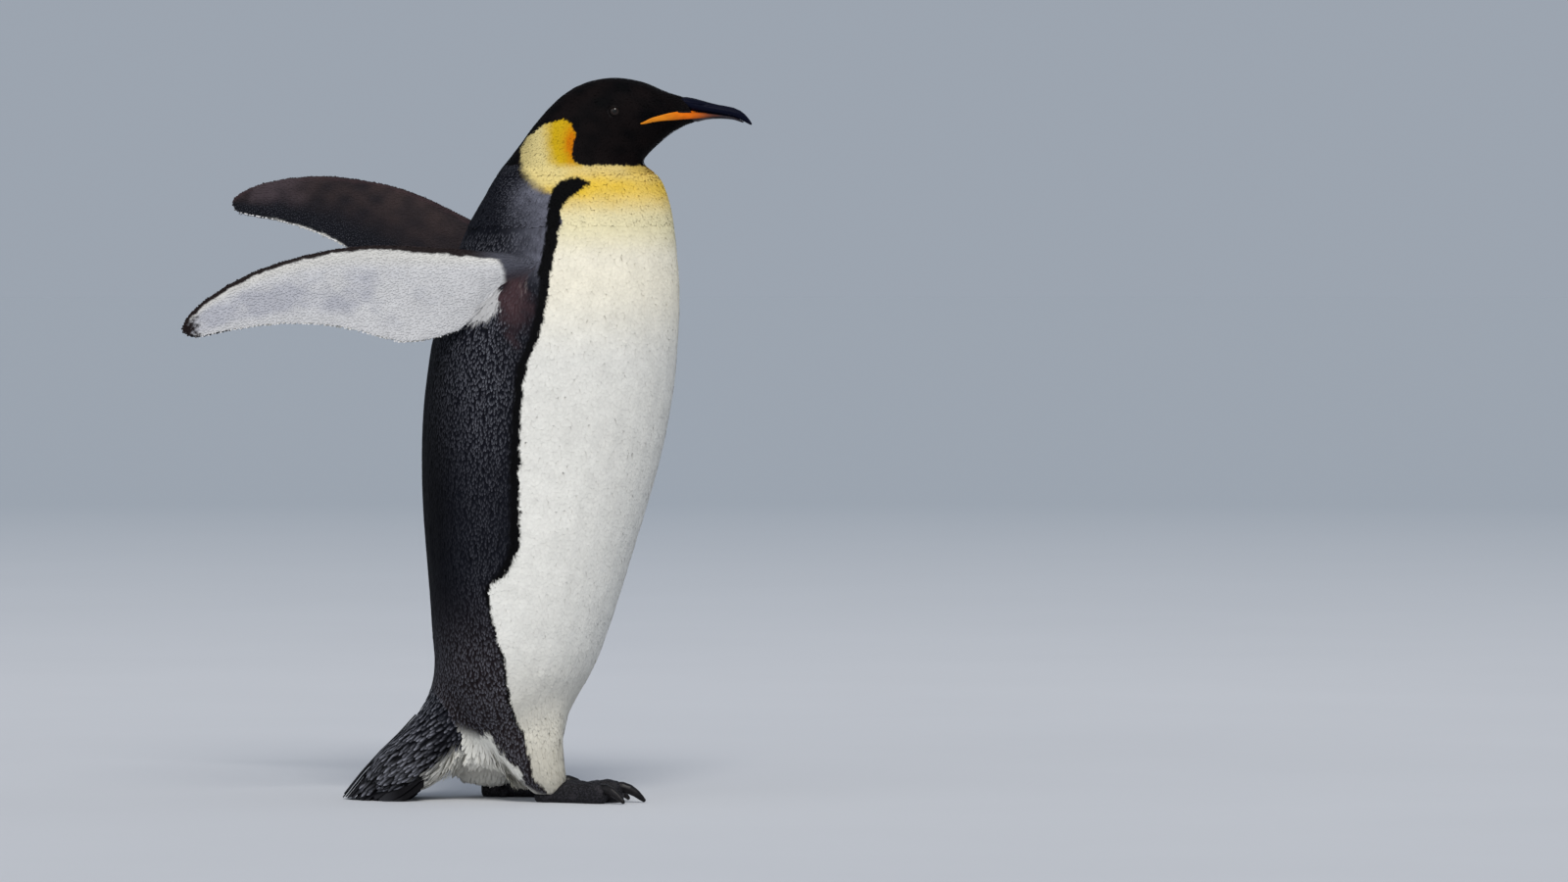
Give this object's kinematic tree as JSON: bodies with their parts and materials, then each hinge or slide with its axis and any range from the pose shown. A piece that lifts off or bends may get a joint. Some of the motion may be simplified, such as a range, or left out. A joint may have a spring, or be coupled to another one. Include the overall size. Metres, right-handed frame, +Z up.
{
  "type": "emperor penguin model",
  "caption": "Life-size still model of a walking emperor penguin with its flippers swept back, resting on two webbed feet and its tail tip.",
  "frame": {"origin": "on the floor under the middle of the whole bird's box, flippers and tail included", "axes": "+Z up, +X the way the bird faces, +Y to its left"},
  "size_m": [0.7734, 0.5244, 1.0009],
  "materials": {
    "feathers_pale": "dense, short cream-white feathers, soft sheen",
    "feathers_gold": "dense, short yellow feathers fading to cream",
    "feathers_black": "very short black feathers, satin",
    "feathers_dark": "short slate feathers with pale tips, satin",
    "foot_skin": "pebbled black skin, matte",
    "horn_dark": "smooth dark horn, semi-gloss",
    "horn_orange": "smooth orange plate, semi-gloss",
    "eye": "wet dark brown, glossy"
  },
  "bodies": {
    "root": {"trunk": "feathers_pale", "neck": "feathers_gold", "head": "feathers_black", "flipper_right": "feathers_dark", "flipper_left": "feathers_dark", "tail": "feathers_dark", "leg_right": "feathers_pale", "leg_left": "feathers_pale", "foot_right": "foot_skin", "foot_left": "foot_skin", "bill_upper": "horn_dark", "bill_lower": "horn_orange", "eye_right": "eye", "eye_left": "eye", "claw_right_inner": "horn_dark", "claw_right_middle": "horn_dark", "claw_right_outer": "horn_dark", "claw_left_inner": "horn_dark", "claw_left_middle": "horn_dark", "claw_left_outer": "horn_dark"}
  },
  "joints": []
}
